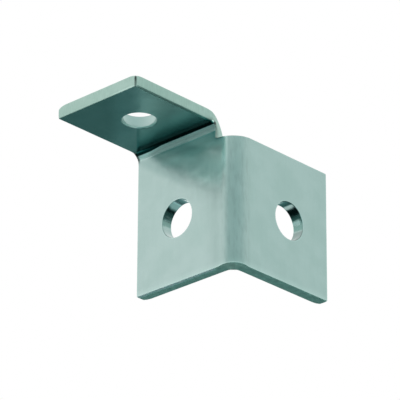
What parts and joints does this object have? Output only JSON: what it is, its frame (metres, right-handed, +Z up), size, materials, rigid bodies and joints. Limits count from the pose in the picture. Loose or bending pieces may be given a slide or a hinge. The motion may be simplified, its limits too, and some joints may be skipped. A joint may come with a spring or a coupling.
{
  "type": "angle bracket",
  "caption": "Three-way angle bracket in folded steel plate: two upright walls at right angles and a flange folded out from the top of one, each leg with a round bolt hole.",
  "frame": {"origin": "under the middle of the bracket's box, level with the walls' lower edges", "axes": "+Z up; the flanged wall's outer face looks towards -X and the flange reaches out that way; the plain wall's outer face looks towards -Y"},
  "size_m": [0.0936, 0.0494, 0.0635],
  "materials": {
    "zinc_plated_steel": "zinc plated, satin"
  },
  "bodies": {
    "root": {"angle_bracket": "zinc_plated_steel"}
  },
  "joints": []
}
